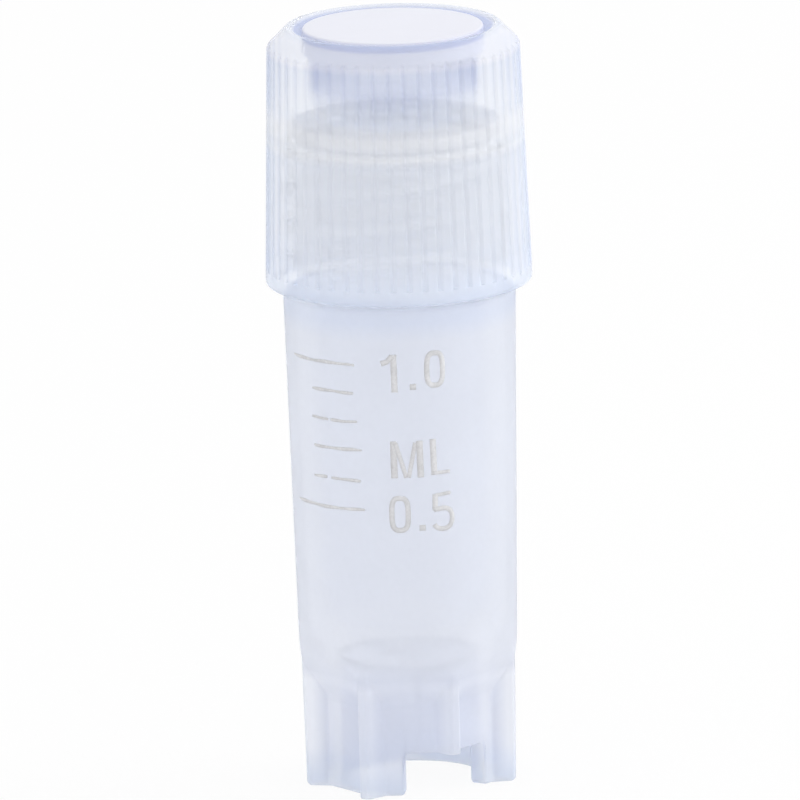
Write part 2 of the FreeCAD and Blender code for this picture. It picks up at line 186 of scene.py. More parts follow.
# The tube: bore, neck and body turned about the axis, then a hollow foot with flutes and a notch.
tube = {
    "boreFloor": 6.8,  # lowest point of the bore
    "boreFloorRadius": 4.4,  # of its round bottom
    "boreRadius": 4.5,  # at the rim
    "neckRadius": 5.45,
    "neckFoot": 27.2,
    "baseRadius": 5.75,  # of the body's cone, at the height 0
    "rimRound": 0.25,
    "shoulderRound": 0.3,
    "innerRound": 0.15,  # where the neck meets the shoulder
    "threadLow": 27.9,
    "threadHigh": 35.35,
    "threadStep": 0.15,  # between rows of the grid along the neck
    "boreStep": 6.0,
    "bodyStep": 3.0,
    "bottomRows": 15,  # of the bore's round bottom
}
foot = {
    "lobes": 7,
    "lobeTurn": 24.9,  # bearing of the lobe that the notch takes away
    "fluteFloor": 4.55,  # from the axis to a flute's flat floor
    "fluteFlare": 1.15,  # how much half a flute widens per millimetre outwards
    "lobeWidth": 0.55,
    "lobeSoft": 0.12,  # rounding of a lobe's edges
    "cornerSoft": 0.1,  # and of the corners beside a flute's floor
    "runoutSoft": 0.3,  # and of the upper end of a flute
    "fluteHeight": 5.0,  # of a flute's straight part
    "runoutTop": 7.8,
    "runoutReach": 1.3,  # the sloping floor goes on outside the cone, to this share of the slope
    "steepest": 0.05,  # least divisor of a side's radius, which keeps it finite
    "cavityRadius": 3.7,
    "ceilingRadius": 5.6,  # the ceiling follows the bore's round bottom
    "notchTurn": 27.2,  # bearing of the notch
    "notchSide": 31.7,  # from the notch's middle to either side
    "notchHeight": 2.35,
    "edgeRound": 0.16,
    "lowerCorner": 0.3,  # fillets of the notch's outline
    "upperCorner": 0.35,
    "meanRadius": 5.0,  # turns millimetres along the notch's outline into degrees
    "fanSide": 49.1,  # beyond this, from the notch's middle, the grid's columns are upright
    "top": 8.6,  # the plain body begins here
    "crowding": 1.3,  # above 1, the outside's rows lie closer together near the lower edge
    "cavityTop": 6.5,
    "rows": 46,  # of the outside
    "edgeRows": 6,  # of either half of the rounded edge
    "cavityRows": 14,
    "ceilingRows": 12,
    "baseColumns": 200,  # along half of the lower edge
    "cornerColumns": 7,
    "sideColumns": 12,
    "notchColumns": 32,
}


# Body radius at a height: a straight cone from the base to the shoulder.
def bodyRadius(height):
    return tube["baseRadius"] + (tubeHigh[0] - tube["baseRadius"]) * height / tube["neckFoot"]


# Outer radius of the foot: the smaller of the cone and the flute. A flute is a flat floor at a distance
# D from the axis, radius D / cos d, and two sides that widen by k per millimetre, radius
# (k D0 - h0) / (k cos d - sin d). Above its straight part the floor slopes out to the cone.
def footRadius(bearing, height):
    base, floor, flare = tube["baseRadius"], foot["fluteFloor"], foot["fluteFlare"]
    halfFlute = math.pi / foot["lobes"] - foot["lobeWidth"] / 2 / base
    sideShift = flare * base * math.cos(halfFlute) - base * math.sin(halfFlute)
    runout = (height - foot["fluteHeight"]) / (foot["runoutTop"] - foot["fluteHeight"])
    distance = floor + np.clip(runout, 0, foot["runoutReach"]) * (bodyRadius(foot["runoutTop"]) - floor)
    period = 360 / foot["lobes"]
    away = np.abs(np.radians((bearing - foot["lobeTurn"]) % period - period / 2))
    side = sideShift / np.maximum(flare * np.cos(away) - np.sin(away), foot["steepest"])
    cut = softMax(distance / np.cos(away), side, foot["cornerSoft"])
    soft = foot["lobeSoft"] + (foot["runoutSoft"] - foot["lobeSoft"]) * np.clip(runout, 0, 1)
    return softMin(bodyRadius(height), cut, soft)


# Lower outline of the foot, unrolled, as (bearing from the notch's middle, height): along the base, up
# the notch's side, across its top, and the same mirrored. Its corners are quarter circles.
def footOutline():
    degree = math.degrees(1 / foot["meanRadius"])
    side, top, low, high = (foot[key] for key in ("notchSide", "notchHeight", "lowerCorner", "upperCorner"))
    turn = np.radians(np.linspace(0, 90, foot["cornerColumns"]))
    base = np.linspace(-180, -side - low * degree, foot["baseColumns"] + 1)[:-1]
    wall = np.linspace(low, top - high, foot["sideColumns"])[1:-1]
    ceiling = np.linspace(high * degree - side, 0, foot["notchColumns"])[1:]
    half = [
        (base, 0 * base),
        (low * degree * (np.sin(turn) - 1) - side, low - low * np.cos(turn)),
        (0 * wall - side, wall),
        (high * degree * (1 - np.cos(turn)) - side, top - high + high * np.sin(turn)),
        (ceiling, 0 * ceiling + top),
    ]
    left = np.hstack([np.vstack(run) for run in half])
    return np.hstack([left, left[:, -2:0:-1] * [[-1], [1]]])


# The outline's columns, fanned out so that they are evenly spread round the plain body above.
def spreadBearings(bearing):
    spread = bearing.copy()
    fan = np.flatnonzero(np.abs(bearing) < foot["fanSide"])
    spread[fan] = np.linspace(bearing[fan[0]], bearing[fan[-1]], len(fan))
    return spread


# Unit steps from the outline into the wall: the outline's direction turned left.
def intoWall(bearing, height):
    scale = math.radians(foot["meanRadius"])
    along = np.roll(np.unwrap(bearing, period=360), -1) - np.roll(np.unwrap(bearing, period=360), 1)
    along = ((along + 180) % 360 - 180) * scale
    rise = np.roll(height, -1) - np.roll(height, 1)
    length = np.hypot(along, rise)
    return -rise / length / scale, along / length


# Rows of the tube's surface from the bore's lowest point, over the rim, down the outside, round the
# foot's lower edge and up its cavity. Each row is (radius, bearing, height) at every column. The bore's
# bottom and the cavity's ceiling are balls round one centre, with radius R sin a at R cos a below it.
def tubeRows():
    edge, edgeHeight = footOutline()
    stepBearing, stepHeight = intoWall(edge, edgeHeight)
    spread = spreadBearings(edge)
    around = foot["notchTurn"] + spread
    edgeRound, cavityRadius = foot["edgeRound"], foot["cavityRadius"]
    rows = []

    def ring(radius, height):
        rows.append((radius + 0 * around, around, height + 0 * around))

    # bearing and height on a wall: the lower edge at share 0, the even ring at `top` at share 1
    def onWall(share, top, crowding=1):
        bearing, height = edge + edgeRound * stepBearing, edgeHeight + edgeRound * stepHeight
        bearing = bearing + (spread - bearing) * (1 - (1 - share) ** 2) + foot["notchTurn"]
        return bearing, height + (top - height) * share ** crowding

    # bearing and height on the rounded edge: beside a wall at the angle 0, lowest at 90 degrees
    def onEdge(angle):
        inset = edgeRound * (1 - math.sin(angle))
        return edge + inset * stepBearing + foot["notchTurn"], edgeHeight + inset * stepHeight

    ballRadius, ballCentre = tube["boreFloorRadius"], tube["boreFloor"] + tube["boreFloorRadius"]
    for angle in np.radians(np.linspace(0, 90, tube["bottomRows"])):
        ring(ballRadius * math.sin(angle), ballCentre - ballRadius * math.cos(angle))
    profile = outline([
        (ballRadius, ballCentre),
        (tube["boreRadius"], rimHeight, tube["rimRound"], tube["boreStep"]),
        (tube["neckRadius"], rimHeight, tube["rimRound"]),
        (tube["neckRadius"], tube["neckFoot"], tube["innerRound"], tube["threadStep"]),
        (tubeHigh[0], tube["neckFoot"], tube["shoulderRound"]),
        (bodyRadius(foot["top"]), foot["top"], 0, tube["bodyStep"]),
    ])
    onNeck = np.cumsum(profile[:, 1] >= rimHeight - nearly) > 0
    for (radius, height), threaded in zip(profile[1:-1], onNeck[1:-1]):
        ridge = threadRidge(around, height, tube["threadLow"], tube["threadHigh"], 0) if threaded else 0
        ring(radius + ridge, height)

    for share in np.linspace(1, 0, foot["rows"]):
        bearing, height = onWall(share, foot["top"], foot["crowding"])
        rows.append((footRadius(bearing, height), bearing, height))
    for angle in np.radians(np.linspace(0, 90, foot["edgeRows"])[1:]):
        bearing, height = onEdge(angle)
        rows.append((footRadius(bearing, height) - edgeRound * (1 - math.cos(angle)), bearing, height))
    for angle in np.radians(np.linspace(90, 0, foot["edgeRows"])):
        bearing, height = onEdge(angle)
        rows.append((cavityRadius + edgeRound * (1 - math.cos(angle)) + 0 * height, bearing, height))
    for share in np.linspace(0, 1, foot["cavityRows"])[1:]:
        bearing, height = onWall(share, foot["cavityTop"])
        rows.append((cavityRadius + 0 * height, bearing, height))
    ceiling = foot["ceilingRadius"]
    for angle in np.linspace(math.asin(cavityRadius / ceiling), 0, foot["ceilingRows"]):
        ring(ceiling * math.sin(angle), ballCentre - ceiling * math.cos(angle))
    return rows


tubeGrid = np.array([roundAxis(*row) for row in tubeRows()])
vialTube = gridPiece("vial_tube_shell", tubeGrid)
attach(vialTube, "tube")
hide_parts("vial_tube")
print("tube:", len(vialTube.data.polygons), "faces")


# The cap: thread room, seat and web inside, a grooved flank and a trench round the insert outside.
cap = {
    "threadRoom": 6.17,  # radius in front of the thread's ridges
    "seatRadius": 5.7,  # of the narrower room for the washer
    "seatFoot": 35.2,
    "webTop": 37.25,
    "pocketRadius": 4.53,
    "bandTop": 28.3,  # the plain band ends and the grooves begin
    "shoulderRadius": 6.83,
    "shoulderHeight": 40.55,
    "rimOuter": 5.78,
    "rimInner": 5.53,
    "insertSeat": 4.93,
    "trenchDepth": 0.45,
    "mouthChamfer": 0.3,
    "seatRound": 0.12,  # fillets, from the web's underside outwards and over the top
    "stepRound": 0.08,
    "mouthRounds": (0.05, 0.06),
    "footRound": 0.3,
    "shoulderRound": 0.3,
    "rimRounds": (0.1, 0.08),
    "trenchRounds": (0.04, 0.03),
    "pocketRounds": (0.06, 0.35),
    "grooves": 52,
    "grooveTurn": 4.1,  # bearing of the first groove
    "grooveDepth": 0.16,
    "grooveFloor": 0.04,  # half width of a groove's floor
    "grooveEdge": 0.19,  # half width where its rounded side meets the flank
    "grooveEnd": 0.1,  # height over which a groove begins above the band
    "grooveReach": 0.2,  # how far inside the rim's outer edge the grooves' cut still counts
    "threadLow": 28.1,
    "threadHigh": 35.1,
    "threadStep": 0.15,  # between rows of the grid along the thread, and so on
    "grooveEndStep": 0.02,
    "flankStep": 1.3,
    "shoulderStep": 0.12,
    "trenchStep": 0.2,
    "pocketStep": 1.0,
}
# Columns of one groove and the land beside it, in millimetres from the groove's middle.
grooveColumns = np.array([-0.36, -0.26, -0.19, -0.13, -0.05, 0.05, 0.13, 0.19, 0.26, 0.36])


# Radius of the cap's flank at a height: a straight cone from the cap's lower edge to its shoulder.
def flankRadius(height):
    share = (height - capLow[2]) / (cap["shoulderHeight"] - capLow[2])
    return capHigh[0] + (cap["shoulderRadius"] - capHigh[0]) * share


# Depth of the grooves: a smooth step down across each groove, times a smooth step up from the band.
def grooveCut(offset, height):
    across = (np.abs(offset) - cap["grooveFloor"]) / (cap["grooveEdge"] - cap["grooveFloor"])
    start = smoothStep((height - cap["bandTop"]) / cap["grooveEnd"])
    return cap["grooveDepth"] * (1 - smoothStep(across)) * start


# Rows of the cap from the middle of the web's underside, down the bore with its thread, round the
# mouth, up the flank, over the rim and down into the pocket. A profile turned about the axis, less the
# thread's ridges inside; outside, the radius is at most the flank's cone less the grooves' depth.
def capGrid():
    pitch = 360 / cap["grooves"]
    offset = np.tile(grooveColumns, cap["grooves"])
    groove = np.repeat(np.arange(cap["grooves"]) * pitch, len(grooveColumns))
    bearing = cap["grooveTurn"] + groove + np.degrees(offset / capHigh[0])
    mouth, top, trenchFloor = capLow[2], capHigh[2], capHigh[2] - cap["trenchDepth"]
    band, grooveTop = cap["bandTop"], cap["bandTop"] + cap["grooveEnd"]
    profile = outline([
        (0, washerHigh[2]),
        (cap["seatRadius"], washerHigh[2], cap["seatRound"]),
        (cap["seatRadius"], cap["seatFoot"], cap["stepRound"]),
        (cap["threadRoom"], cap["seatFoot"], cap["stepRound"]),
        (cap["threadRoom"], mouth + cap["mouthChamfer"], cap["mouthRounds"][0], cap["threadStep"]),
        (cap["threadRoom"] + cap["mouthChamfer"], mouth, cap["mouthRounds"][1]),
        (capHigh[0], mouth, cap["footRound"]),
        (flankRadius(band), band),
        (flankRadius(grooveTop), grooveTop, 0, cap["grooveEndStep"]),
        (cap["shoulderRadius"], cap["shoulderHeight"], cap["shoulderRound"], cap["flankStep"]),
        (cap["rimOuter"], top, cap["rimRounds"][0], cap["shoulderStep"]),
        (cap["rimInner"], top, cap["rimRounds"][1]),
        (cap["insertSeat"], trenchFloor, cap["trenchRounds"][0], cap["trenchStep"]),
        (cap["insertSeat"], insertLow[2], cap["trenchRounds"][1]),
        (cap["pocketRadius"], insertLow[2], cap["pocketRounds"][0]),
        (cap["pocketRadius"], cap["webTop"], cap["pocketRounds"][1], cap["pocketStep"]),
        (0, cap["webTop"]),
    ])
    halfPitch = thread["lead"] / thread["starts"] / 2
    outside = np.arange(len(profile)) > np.argmax(profile[:, 0])
    rows = []
    for (radius, height), out in zip(profile, outside):
        across = radius + 0 * bearing
        if out and height > band and radius > cap["rimOuter"] - cap["grooveReach"]:
            across = np.minimum(across, flankRadius(height) - grooveCut(offset, height))
        if not out and abs(radius - cap["threadRoom"]) < nearly:
            across = across - threadRidge(bearing, height, cap["threadLow"], cap["threadHigh"], halfPitch)
        rows.append(roundAxis(across, bearing, height))
    return np.array(rows)


screwCap = gridPiece("screw_cap_shell", capGrid())
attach(screwCap, "cap")
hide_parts("screw_cap")
print("cap:", len(screwCap.data.polygons), "faces")


# Disc pressed into the cap's top, and the soft ring that the cap presses on the tube's rim.
insert = {"radius": insertHigh[0], "upperRound": 0.12, "lowerRound": 0.06}
washer = {"hole": 3.8, "radius": washerHigh[0], "round": 0.14}
turned = {"columns": 160, "step": 0.5}


# A profile turned about the axis: its radii and heights, at even bearings.
def turnedPiece(name, corners):
    bearing = np.arange(turned["columns"]) * 360 / turned["columns"]
    profile = outline(corners, turned["step"])
    return gridPiece(name, np.array([roundAxis(radius, bearing, height) for radius, height in profile]))


discLow = insertLow[2] + contactGap
insertDisc = turnedPiece("cap_insert_disc", [
    (0, discLow),
    (insert["radius"], discLow, insert["lowerRound"]),
    (insert["radius"], insertHigh[2], insert["upperRound"]),
    (0, insertHigh[2]),
])
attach(insertDisc, "cap")
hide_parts("cap_insert")

ringLow, ringHigh = washerLow[2] + contactGap, washerHigh[2] - contactGap
ringMiddle = (washer["hole"] + washer["radius"]) / 2
sealRing = turnedPiece("sealing_ring", [
    (ringMiddle, ringLow),
    (washer["radius"], ringLow, washer["round"]),
    (washer["radius"], ringHigh, washer["round"]),
    (washer["hole"], ringHigh, washer["round"]),
    (washer["hole"], ringLow, washer["round"]),
    (ringMiddle, ringLow),
])
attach(sealRing, "washer")
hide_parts("sealing_washer")
print("insert and washer made")


# The printed scale: every stroke is a thin closed ribbon along a path on the tube's cone.
# Paths are in millimetres, right and up from a mark's own middle.
ink = {
    "thickness": 0.012,
    "sunk": 0.008,  # how deep a ribbon's underside lies in the plastic
    "layers": 4,  # strokes take turns in this many layers, so that those which cross don't coincide
    "layerStep": 0.002,  # height of one layer over the next
    "pathStep": 0.12,
}


# A path through its points, with its width: runs are cut into short steps, values vary evenly on each.
def finePath(points, width):
    points = np.array(points, float)
    track = np.column_stack([points, np.broadcast_to(width, len(points))])
    length = np.concatenate([[0], np.cumsum(np.linalg.norm(np.diff(points, axis=0), axis=1))])
    steps = np.linspace(0, length[-1], max(2, math.ceil(length[-1] / ink["pathStep"])) + 1)
    track = np.stack([np.interp(steps, length, column) for column in track.T], axis=1)
    return track[:, :2], track[:, 2]


# Rounded box as a loop, walked by angle: the powers of |x / a| and |y / b| add up to 1.
def roundLoop(width, height, power, first=0, last=360, count=41):
    angle = np.radians(np.linspace(first, last, count))
    across, up = np.cos(angle), np.sin(angle)
    grow = (np.abs(across) ** power + np.abs(up) ** power) ** (-1 / power)
    return np.stack([width / 2 * grow * across, height / 2 * grow * up], axis=1)


# Ribbon round a path: at each point the width is laid off square to the path, on both sides. The
# corners of its section are (left, top), (right, top), (right, bottom), (left, bottom).
def inkStroke(path, width, bearing, height, layer):
    path, width = finePath(path, width)
    closed = np.allclose(path[0], path[-1])
    along = np.gradient(path, axis=0)
    if closed:
        along[0] = along[-1] = path[1] - path[-2]
    along /= np.linalg.norm(along, axis=1)[:, None]
    side = np.stack([-along[:, 1], along[:, 0]], axis=1) * width[:, None] / 2
    left, right = path + side, path - side
    flat = np.stack([left, right, right, left], axis=1)
    lift = ink["thickness"] + layer * ink["layerStep"]
    rise = np.array([lift, lift, -ink["sunk"], -ink["sunk"]])
    level = height + flat[..., 1]
    radius = bodyRadius(level)
    points = roundAxis(radius + rise, bearing + np.degrees(flat[..., 0] / radius), level)
    if closed:
        return points[:-1], True
    ends = [np.repeat(points[k].mean(axis=0)[None, None], 4, axis=1) for k in (0, -1)]
    return np.concatenate([ends[0], points, ends[1]]), False


# Glyphs as lists of (path, width). A path's width may change along it.
glyphs = {
    "0": [(roundLoop(0.88, 1.78, 3.2), 0.29)],
    "1": [([(0.07, 0.98), (0.1, -1.1)], 0.34), ([(-0.62, 0.48), (-0.3, 0.58), (0.0, 0.9)], 0.3)],
    ".": [([(-0.17, 0), (0.17, 0)], 0.32)],
    "M": [
        ([(-0.72, 1.02), (-0.7, -1.02)], 0.36),
        ([(-0.62, 0.92), (-0.06, -1.0)], 0.24),
        ([(0.46, 0.92), (0.06, -1.0)], 0.24),
        ([(0.68, 1.02), (0.72, -1.02)], 0.36),
    ],
    "L": [([(-0.4, 1.0), (-0.33, -1.0)], 0.34), ([(-0.4, -0.9), (0.56, -0.87)], 0.2)],
    "5": [
        ([(-0.44, 0.88), (0.46, 0.97)], 0.2),
        ([(-0.42, 0.95), (-0.43, 0.05)], 0.3),
        (np.vstack([[(-0.5, 0.1)], roundLoop(1.08, 1.14, 2.4, 110, -150, 31) + [0, -0.42]]), 0.27),
    ],
}
# Each mark: glyph, bearing and height of its middle.
marks = [
    ("1", -4.6, 23.78),
    (".", 5.5, 22.96),
    ("0", 16.7, 23.87),
    ("M", 1.7, 18.95),
    ("L", 18.6, 19.02),
    ("0", -2.6, 15.93),
    (".", 8.8, 15.14),
    ("5", 19.6, 16.0),
]
# Graduation lines: first and last bearing, height, and the stretches missing from the print.
graduations = [
    (-67.5, -24.0, 24.14, []),
    (-51.2, -25.2, 22.57, []),
    (-52.0, -23.6, 20.98, [(-40.6, -39.0)]),
    (-51.3, -21.6, 19.42, []),
    (-52.2, -22.6, 17.74, [(-42.8, -39.8)]),
    (-68.8, -20.8, 16.12, []),
]
line = {
    "width": 0.17,
    "rise": 0.014,  # how far a line wavers up and down
    "riseWaves": [(1.7, 2.1, 1.0), (4.3, 1.0, 0.6)],  # turn per millimetre, shift per line, share
    "widthWave": (3.1, 4.0, 0.18),
    "taper": 0.7,  # width at either end, as a share
    "taperSpeed": 6,  # full width is reached after one part in six of the length
    "fewestPoints": 6,
    "pointsPerDegree": 1.5,
}


# A graduation line wavers a little: its height is a sum of two sines along its length, and its width
# one sine, times a smooth step up at either end.
def graduationPaths(first, last, height, gaps, number):
    middle, radius = (first + last) / 2, bodyRadius(height)
    edges = [first, *[edge for gap in gaps for edge in gap], last]
    for start, end in zip(edges[::2], edges[1::2]):
        count = max(line["fewestPoints"], int((end - start) * line["pointsPerDegree"]))
        bearing = np.linspace(start, end, count)
        x = np.radians(bearing - middle) * radius
        wave = sum(share * np.sin(turn * x + shift * number) for turn, shift, share in line["riseWaves"])
        along = (bearing - start) / (end - start)
        ends = smoothStep(line["taperSpeed"] * np.minimum(along, 1 - along))
        ends = line["taper"] + (1 - line["taper"]) * ends
        turn, shift, swell = line["widthWave"]
        width = line["width"] * ends * (1 + swell * np.sin(turn * x + shift * number))
        yield np.stack([x, line["rise"] * wave], axis=1), width, middle


# All ribbons of the print in one mesh: the points and quads of every stroke, one after another.
def printedScale():
    points, quads, offset = [], [], 0
    strokes = [(path, width, bearing, height)
               for name, bearing, height in marks for path, width in glyphs[name]]
    for number, (first, last, height, gaps) in enumerate(graduations):
        strokes += [(path, width, middle, height)
                    for path, width, middle in graduationPaths(first, last, height, gaps, number)]
    for layer, (path, width, bearing, height) in enumerate(strokes):
        grid, closed = inkStroke(path, width, bearing, height, layer % ink["layers"])
        quads.append(gridQuads(*grid.shape[:2], closedRows=closed) + offset)
        points.append(grid.reshape(-1, 3))
        offset += len(points[-1])
    return np.vstack(points), np.vstack(quads)


scalePrint = meshPiece("printed_scale", *printedScale())
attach(scalePrint, "tube")
print("printed scale:", len(scalePrint.data.polygons), "faces")


# A node with its settings and inputs. An input is a plain value, or the socket that feeds it.
def addNode(tree, kind, inputs=(), **settings):
    node = tree.nodes.new("ShaderNode" + kind)
    for key, value in settings.items():
        setattr(node, key, value)
    for slot, value in dict(inputs).items():
        if isinstance(value, bpy.types.NodeSocket):
            tree.links.new(value, node.inputs[slot])
        else:
            node.inputs[slot].default_value = value
    return node


# Result of one calculation in a material, from plain values or sockets.
def mathNode(tree, operation, first, second=0.0, clamp=False):
    return addNode(tree, "Math", {0: first, 1: second}, operation=operation, use_clamp=clamp).outputs[0]


# An empty node group, with the sockets that bring its inputs and take its results.
def newGroup(name, inputs, outputs):
    group = bpy.data.node_groups.new(name, "ShaderNodeTree")
    for way, sockets in (("INPUT", inputs), ("OUTPUT", outputs)):
        for label, kind in sockets.items():
            group.interface.new_socket(label, in_out=way, socket_type="NodeSocket" + kind)
    return group, group.nodes.new("NodeGroupInput").outputs, group.nodes.new("NodeGroupOutput").inputs


# A ring about the axis: 1 between two radii and two heights. It fades across each edge in a straight
# line, (value - edge) / softness + 1/2 between 0 and 1, and the four fades are multiplied.
def makeRingZone():
    inputs = {"Place": "Vector", "Inner": "Float", "Outer": "Float", "Low": "Float", "High": "Float",
              "Soft": "Float"}
    group, given, result = newGroup("ringZone", inputs, {"Mask": "Float"})
    flat = addNode(group, "VectorMath", {0: given["Place"], 1: (1, 1, 0)}, operation="MULTIPLY")
    radius = addNode(group, "VectorMath", {0: flat.outputs[0]}, operation="LENGTH").outputs["Value"]
    height = addNode(group, "SeparateXYZ", {0: given["Place"]}).outputs["Z"]
    mask = 1.0
    for value, low, high in ((radius, "Inner", "Outer"), (height, "Low", "High")):
        for above, below in ((value, given[low]), (given[high], value)):
            inside = mathNode(group, "DIVIDE", mathNode(group, "SUBTRACT", above, below), given["Soft"])
            inside = mathNode(group, "ADD", inside, 0.5, clamp=True)
            mask = mathNode(group, "MULTIPLY", inside, mask)
    group.links.new(mask, result["Mask"])
    return group


# Variation inside moulded plastic: soft clouds and a fine frosted grain change the colour's level and
# the roughness, and the grain gives a height for the bump.
def makeMouldedTone():
    inputs = {"Place": "Vector", "Color": "Color", "Roughness": "Float", "Cloud Size": "Float",
              "Cloud": "Float", "Grain Size": "Float", "Grain": "Float", "Rough Spread": "Float"}
    outputs = {"Color": "Color", "Roughness": "Float", "Height": "Float"}
    group, given, result = newGroup("mouldedTone", inputs, outputs)
    level, noises = 1.0, []
    for label, detail in (("Cloud", 2.0), ("Grain", 3.0)):
        scale = mathNode(group, "DIVIDE", 1.0, given[label + " Size"])
        noise = addNode(group, "TexNoise", {"Vector": given["Place"], "Scale": scale, "Detail": detail})
        noises.append(mathNode(group, "SUBTRACT", noise.outputs["Fac"], 0.5))
        level = mathNode(group, "ADD", level, mathNode(group, "MULTIPLY", noises[-1], given[label]))
    toned = addNode(group, "VectorMath", {0: given["Color"], "Scale": level}, operation="SCALE")
    spread = mathNode(group, "MULTIPLY", mathNode(group, "ADD", *noises), given["Rough Spread"])
    group.links.new(toned.outputs[0], result["Color"])
    group.links.new(mathNode(group, "ADD", given["Roughness"], spread, clamp=True), result["Roughness"])
    group.links.new(noises[1], result["Height"])
    return group


ringZone, mouldedTone = makeRingZone(), makeMouldedTone()
grainHeight = 0.02  # height of the frosted grain's bump


# A plastic from its finish. Each zone pulls colour, roughness and alpha towards its own, by its strength.
def plastic(name, finish):
    material = bpy.data.materials.new(name)
    material.use_nodes = True
    tree = material.node_tree
    shader = tree.nodes["Principled BSDF"]
    for slot in ("IOR", "Alpha", "Transmission Weight", "Specular IOR Level"):
        if slot in finish:
            shader.inputs[slot].default_value = finish[slot]
    place = addNode(tree, "TexCoord").outputs["Object"]
    color, roughness, alpha = (*finish["color"], 1), finish["roughness"], finish.get("Alpha", 1.0)
    for sizes, zoneColor, zoneRoughness, zoneAlpha, strength in finish.get("zones", []):
        ring = {label: size * mm for label, size in zip(("Inner", "Outer", "Low", "High", "Soft"), sizes)}
        mask = addNode(tree, "Group", {"Place": place, **ring}, node_tree=ringZone).outputs["Mask"]
        share = mathNode(tree, "MULTIPLY", mask, strength)
        color = addNode(tree, "Mix", {0: share, 6: color, 7: (*zoneColor, 1)}, data_type="RGBA").outputs[2]
        roughness = addNode(tree, "Mix", {0: share, 2: roughness, 3: zoneRoughness}).outputs[0]
        alpha = addNode(tree, "Mix", {0: share, 2: alpha, 3: zoneAlpha}).outputs[0]
    tone = addNode(tree, "Group", {
        "Place": place, "Color": color, "Roughness": roughness, "Rough Spread": finish["roughSpread"],
        "Cloud": finish["cloud"], "Cloud Size": finish["cloudSize"] * mm,
        "Grain": finish["grain"], "Grain Size": finish["grainSize"] * mm,
    }, node_tree=mouldedTone).outputs
    bump = addNode(tree, "Bump", {"Strength": finish["bump"], "Distance": grainHeight * mm,
                                  "Height": tone["Height"]}).outputs["Normal"]
    tree.links.new(tone["Color"], shader.inputs["Base Color"])
    tree.links.new(tone["Roughness"], shader.inputs["Roughness"])
    tree.links.new(bump, shader.inputs["Normal"])
    if "zones" in finish:
        tree.links.new(alpha, shader.inputs["Alpha"])
    return material


# Frosted natural plastic. Each zone is a ring (inner radius, outer radius, low, high, softness), then
# its colour, roughness, alpha and strength. Later zones lie over earlier ones. The clear zones are
# inner surfaces, painted lighter and more see-through: painted light, so that the walls look cloudy
# but the inside stays light instead of falling into shade.
tubeFinish = {
    "color": (0.8, 0.832, 0.918),
    "roughness": 0.42,
    "IOR": 1.1,
    "Transmission Weight": 0.5,
    "Alpha": 0.7,
    "cloud": 0.08,
    "cloudSize": 3.5,
    "grain": 0.05,
    "grainSize": 0.35,
    "roughSpread": 0.1,
    "bump": 0.15,
    "zones": [
        ((0, 4.7, 8, 28, 0.3), (0.92, 0.94, 1.0), 0.3, 0.35, 1),  # bore
        ((0, 4.3, 5, 9, 0.3), (0.97, 0.98, 1.0), 0.3, 0.16, 1),  # its round bottom
        ((0, 6.2, 27.7, 36, 0.4), (0.95, 0.965, 1.0), 0.16, 0.4, 1),  # neck
        # painted highlight: the thread's crests are painted white and more opaque, standing in for bright
        # marks at the sides
        ((5.7, 6.2, 27.4, 35.4, 0.2), (1.0, 1.0, 1.0), 0.14, 0.62, 1),  # thread
        # painted highlight: a white line painted along the tube's rim
        ((4.6, 5.8, 35.1, 35.7, 0.2), (1.0, 1.0, 1.0), 0.1, 0.9, 1),  # rim
        # painted shade: a darker blue band painted on the tube just under the cap's lower edge
        ((4.6, 7, 25.9, 27.3, 1), (0.68, 0.76, 0.95), 0.4, 0.7, 0.6),  # below the shoulder
        ((3, 7, -1, 7, 4), (0.82, 0.85, 0.95), 0.32, 0.7, 1),  # foot
        # painted highlight: the foot's lobes are painted lighter than the flutes
        ((5.2, 7, -1, 6.2, 0.6), (0.93, 0.95, 1.0), 0.32, 0.78, 0.75),  # its lobes
        # painted shade: darker and bluer towards the foot's lower edge, near the floor
        ((0, 7, -1, 1.3, 1.6), (0.6, 0.7, 0.9), 0.32, 0.75, 0.5),  # its lower edge
    ],
}
